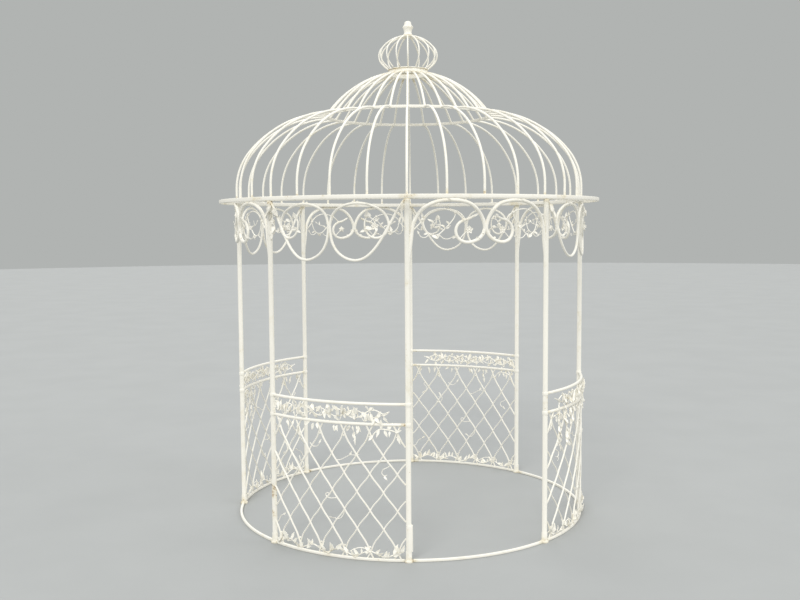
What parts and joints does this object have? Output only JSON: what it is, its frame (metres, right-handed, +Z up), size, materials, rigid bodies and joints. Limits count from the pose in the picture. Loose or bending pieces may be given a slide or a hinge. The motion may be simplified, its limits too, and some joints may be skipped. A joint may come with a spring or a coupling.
{
  "type": "garden gazebo",
  "caption": "Open round garden gazebo in painted wrought iron, with lattice side panels, scrollwork under a ring, and a stepped birdcage dome topped by an onion cage.",
  "frame": {"origin": "on the ground under the middle of the dome", "axes": "+Z up, the front doorway faces -Y, the other doorways face +X, +Y and -X"},
  "size_m": [2.4, 2.3996, 3.1178],
  "materials": {
    "post_paint": "satin cream paint, weathered, with small rust spots",
    "panel_paint": "satin cream paint, weathered, with small rust spots",
    "scroll_paint": "satin cream paint, weathered, with small rust spots",
    "ring_paint": "satin cream paint, weathered, with small rust spots",
    "dome_paint": "satin cream paint, weathered, with small rust spots",
    "crown_paint": "satin cream paint, weathered, with small rust spots"
  },
  "bodies": {
    "root": {"post_front_left": "post_paint", "post_front_right": "post_paint", "post_right_front": "post_paint", "post_right_back": "post_paint", "post_back_right": "post_paint", "post_back_left": "post_paint", "post_left_back": "post_paint", "post_left_front": "post_paint", "lattice_front_right": "panel_paint", "lattice_back_right": "panel_paint", "lattice_back_left": "panel_paint", "lattice_front_left": "panel_paint", "sill_front": "panel_paint", "sill_right": "panel_paint", "sill_back": "panel_paint", "sill_left": "panel_paint", "arch_front": "scroll_paint", "arch_right": "scroll_paint", "arch_back": "scroll_paint", "arch_left": "scroll_paint", "swag_front_right": "scroll_paint", "swag_back_right": "scroll_paint", "swag_back_left": "scroll_paint", "swag_front_left": "scroll_paint", "ring": "ring_paint", "brim": "ring_paint", "rib_front_left": "dome_paint", "rib_front_right": "dome_paint", "rib_right_front": "dome_paint", "rib_right_back": "dome_paint", "rib_back_right": "dome_paint", "rib_back_left": "dome_paint", "rib_left_back": "dome_paint", "rib_left_front": "dome_paint", "dome_front": "dome_paint", "dome_front_right": "dome_paint", "dome_right": "dome_paint", "dome_back_right": "dome_paint", "dome_back": "dome_paint", "dome_back_left": "dome_paint", "dome_left": "dome_paint", "dome_front_left": "dome_paint", "collar": "crown_paint", "onion_cage": "crown_paint", "finial": "crown_paint"}
  },
  "joints": []
}
